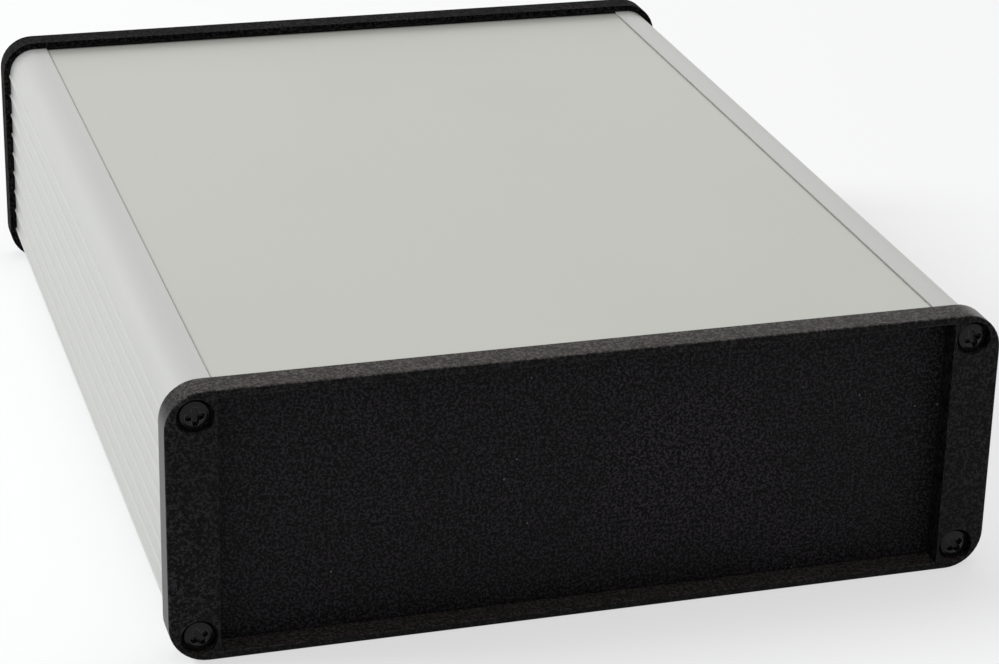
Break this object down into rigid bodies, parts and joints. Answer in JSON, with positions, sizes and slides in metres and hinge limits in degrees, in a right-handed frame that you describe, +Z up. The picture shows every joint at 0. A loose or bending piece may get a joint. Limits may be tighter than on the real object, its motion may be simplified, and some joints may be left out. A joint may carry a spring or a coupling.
{
  "type": "extruded aluminium enclosure",
  "caption": "Flat instrument case: ribbed aluminium extrusion with a slide-in top cover, recessed flat end panels and screwed-on black bezels.",
  "frame": {"origin": "centre of the footprint, on the surface that the bezels' lower edges stand on", "axes": "+Z up through the cover, +Y along the extrusion from the front bezel to the rear one, +X across to the right seen from the front"},
  "size_m": [0.163, 0.212, 0.0545],
  "materials": {
    "satin_anodised_body": "satin natural anodised",
    "satin_anodised_cover": "satin natural anodised",
    "black_coated_panel": "fine-textured black coating",
    "black_moulded_bezel": "fine-textured black moulding",
    "black_screw": "glossy black"
  },
  "bodies": {
    "root": {"body_extrusion": "satin_anodised_body", "cover_plate": "satin_anodised_cover", "front_panel": "black_coated_panel", "rear_panel": "black_coated_panel", "front_bezel": "black_moulded_bezel", "rear_bezel": "black_moulded_bezel", "front_screw_upper_left": "black_screw", "front_screw_upper_right": "black_screw", "front_screw_lower_left": "black_screw", "front_screw_lower_right": "black_screw", "rear_screw_upper_left": "black_screw", "rear_screw_upper_right": "black_screw", "rear_screw_lower_left": "black_screw", "rear_screw_lower_right": "black_screw"}
  },
  "joints": []
}
